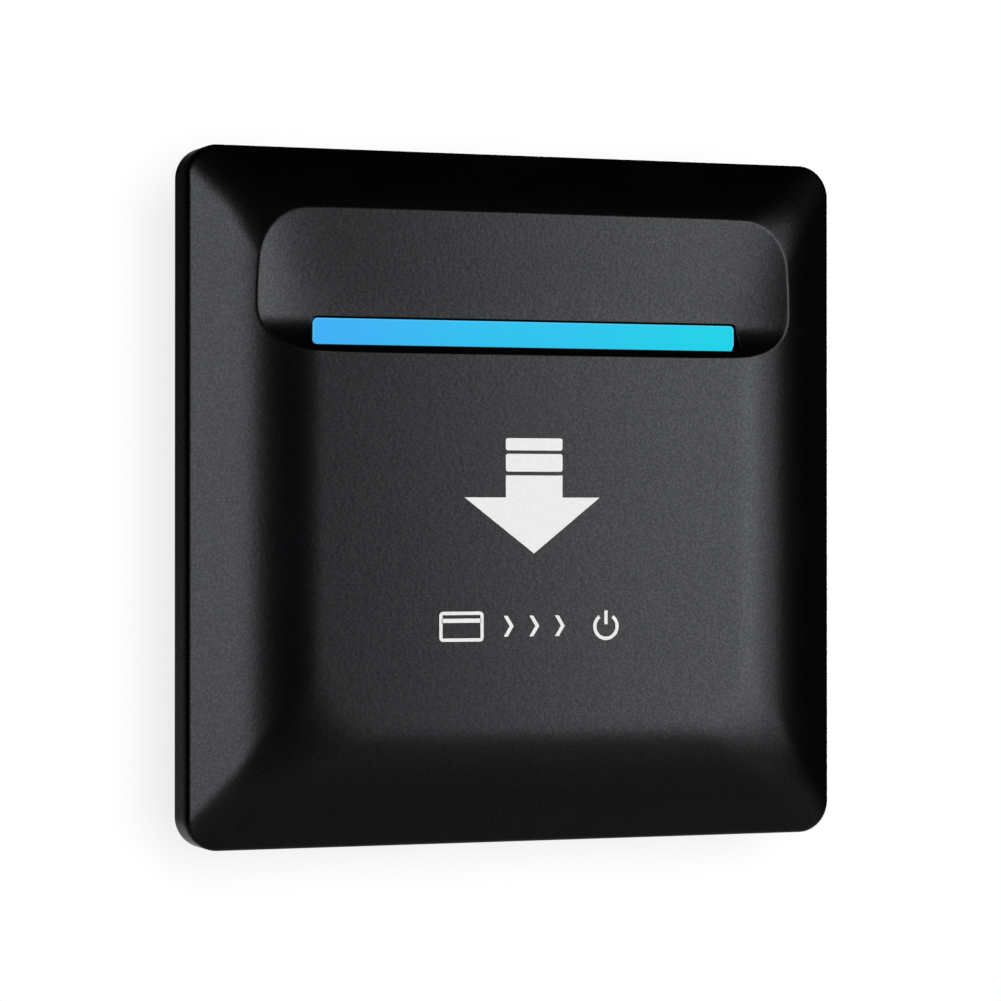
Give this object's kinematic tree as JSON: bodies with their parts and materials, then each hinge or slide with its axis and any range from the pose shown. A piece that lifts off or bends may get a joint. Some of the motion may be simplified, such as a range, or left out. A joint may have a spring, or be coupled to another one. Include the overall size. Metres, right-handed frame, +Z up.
{
  "type": "hotel key card switch",
  "caption": "Square wall switch worked by a key card: bevelled black cover, lit slot in a recess, card pocket, lever, relay board and screw terminals.",
  "frame": {"origin": "midway between the two wall screws, on the wall's surface", "axes": "+X right as seen from the front, +Y into the wall, +Z up"},
  "size_m": [0.086, 0.0368, 0.086],
  "materials": {
    "black_plastic": "fine matt texture",
    "lit_guide": "clear, lit from behind",
    "frame_plastic": "moulded",
    "tray_plastic": "moulded",
    "housing_plastic": "moulded",
    "lever_plastic": "moulded",
    "terminal_plastic": "moulded",
    "zinc_steel": "zinc plated",
    "spring_steel": "drawn wire",
    "brass": "stamped",
    "tinned_leads": "tinned",
    "board_white": "solder mask",
    "board_green": "solder mask",
    "lamp_package": "moulded",
    "black_component": "moulded",
    "plunger_red": "moulded",
    "relay_blue": "moulded",
    "film_yellow": "moulded",
    "sleeve_dark": "shrunk sleeve",
    "varistor_blue": "dipped",
    "fuse_brown": "moulded",
    "white_print": "pad print"
  },
  "bodies": {
    "base": {"light_guide": "lit_guide", "mounting_frame": "frame_plastic", "card_tray": "tray_plastic", "rear_housing": "housing_plastic", "terminal_block": "terminal_plastic", "tray_screws": "zinc_steel", "led_board_screws": "zinc_steel", "board_screws": "zinc_steel", "housing_screws": "zinc_steel", "lever_pin": "zinc_steel", "lever_spring": "spring_steel", "current_bars": "brass", "led_header_pins": "brass", "microswitch_pins": "tinned_leads", "relay_pins": "tinned_leads", "led_board": "board_white", "main_board": "board_green", "slot_leds": "lamp_package", "led_header": "black_component", "microswitch_body": "black_component", "bridge_rectifier": "black_component", "controller_chip": "black_component", "resistors": "black_component", "choke": "black_component", "relay": "relay_blue", "film_capacitor": "film_yellow", "electrolytic_capacitor": "sleeve_dark", "varistor": "varistor_blue", "fuse": "fuse_brown"},
    "cover": {"front_cover": "black_plastic"},
    "card_lever": {"card_lever": "lever_plastic"},
    "plunger": {"microswitch_plunger": "plunger_red"},
    "terminal_screw_1": {"terminal_screw_1": "zinc_steel"},
    "terminal_cage_1": {"terminal_cage_1": "brass"},
    "terminal_screw_2": {"terminal_screw_2": "zinc_steel"},
    "terminal_cage_2": {"terminal_cage_2": "brass"},
    "terminal_screw_3": {"terminal_screw_3": "zinc_steel"},
    "terminal_cage_3": {"terminal_cage_3": "brass"},
    "terminal_screw_4": {"terminal_screw_4": "zinc_steel"},
    "terminal_cage_4": {"terminal_cage_4": "brass"}
  },
  "joints": [
    {"name": "cover_pull", "type": "slide", "parent": "base", "child": "cover", "axis": [0, -1, 0], "range_m": [0, 0.03]},
    {"name": "card_lever_swing", "type": "hinge", "parent": "base", "child": "card_lever", "pos_m": [0, -0.0029, -0.008], "axis": [1, 0, 0], "range_deg": [0, 7.5], "stiffness_Nm_per_rad": 0.004, "springref_deg": -11.46, "deforming": ["lever_spring"]},
    {"name": "plunger_press", "type": "slide", "parent": "base", "child": "plunger", "axis": [0, 1, 0], "range_m": [0, 0.001]},
    {"name": "terminal_screw_1_turn", "type": "hinge", "parent": "base", "child": "terminal_screw_1", "pos_m": [-0.01125, 0.021, -0.0202], "axis": [0, -1, 0], "range_deg": [0, 1440]},
    {"name": "terminal_cage_1_lift", "type": "slide", "parent": "base", "child": "terminal_cage_1", "axis": [0, 1, 0], "range_m": [0, 0.002]},
    {"name": "terminal_screw_2_turn", "type": "hinge", "parent": "base", "child": "terminal_screw_2", "pos_m": [-0.00375, 0.021, -0.0202], "axis": [0, -1, 0], "range_deg": [0, 1440]},
    {"name": "terminal_cage_2_lift", "type": "slide", "parent": "base", "child": "terminal_cage_2", "axis": [0, 1, 0], "range_m": [0, 0.002]},
    {"name": "terminal_screw_3_turn", "type": "hinge", "parent": "base", "child": "terminal_screw_3", "pos_m": [0.00375, 0.021, -0.0202], "axis": [0, -1, 0], "range_deg": [0, 1440]},
    {"name": "terminal_cage_3_lift", "type": "slide", "parent": "base", "child": "terminal_cage_3", "axis": [0, 1, 0], "range_m": [0, 0.002]},
    {"name": "terminal_screw_4_turn", "type": "hinge", "parent": "base", "child": "terminal_screw_4", "pos_m": [0.01125, 0.021, -0.0202], "axis": [0, -1, 0], "range_deg": [0, 1440]},
    {"name": "terminal_cage_4_lift", "type": "slide", "parent": "base", "child": "terminal_cage_4", "axis": [0, 1, 0], "range_m": [0, 0.002]}
  ],
  "couplings": [
    {"joint": "plunger_press", "follows": "card_lever_swing", "m_per_rad": 0.007},
    {"joint": "terminal_screw_1_turn", "follows": "terminal_cage_1_lift", "rad_per_m": 12566},
    {"joint": "terminal_screw_2_turn", "follows": "terminal_cage_2_lift", "rad_per_m": 12566},
    {"joint": "terminal_screw_3_turn", "follows": "terminal_cage_3_lift", "rad_per_m": 12566},
    {"joint": "terminal_screw_4_turn", "follows": "terminal_cage_4_lift", "rad_per_m": 12566}
  ]
}
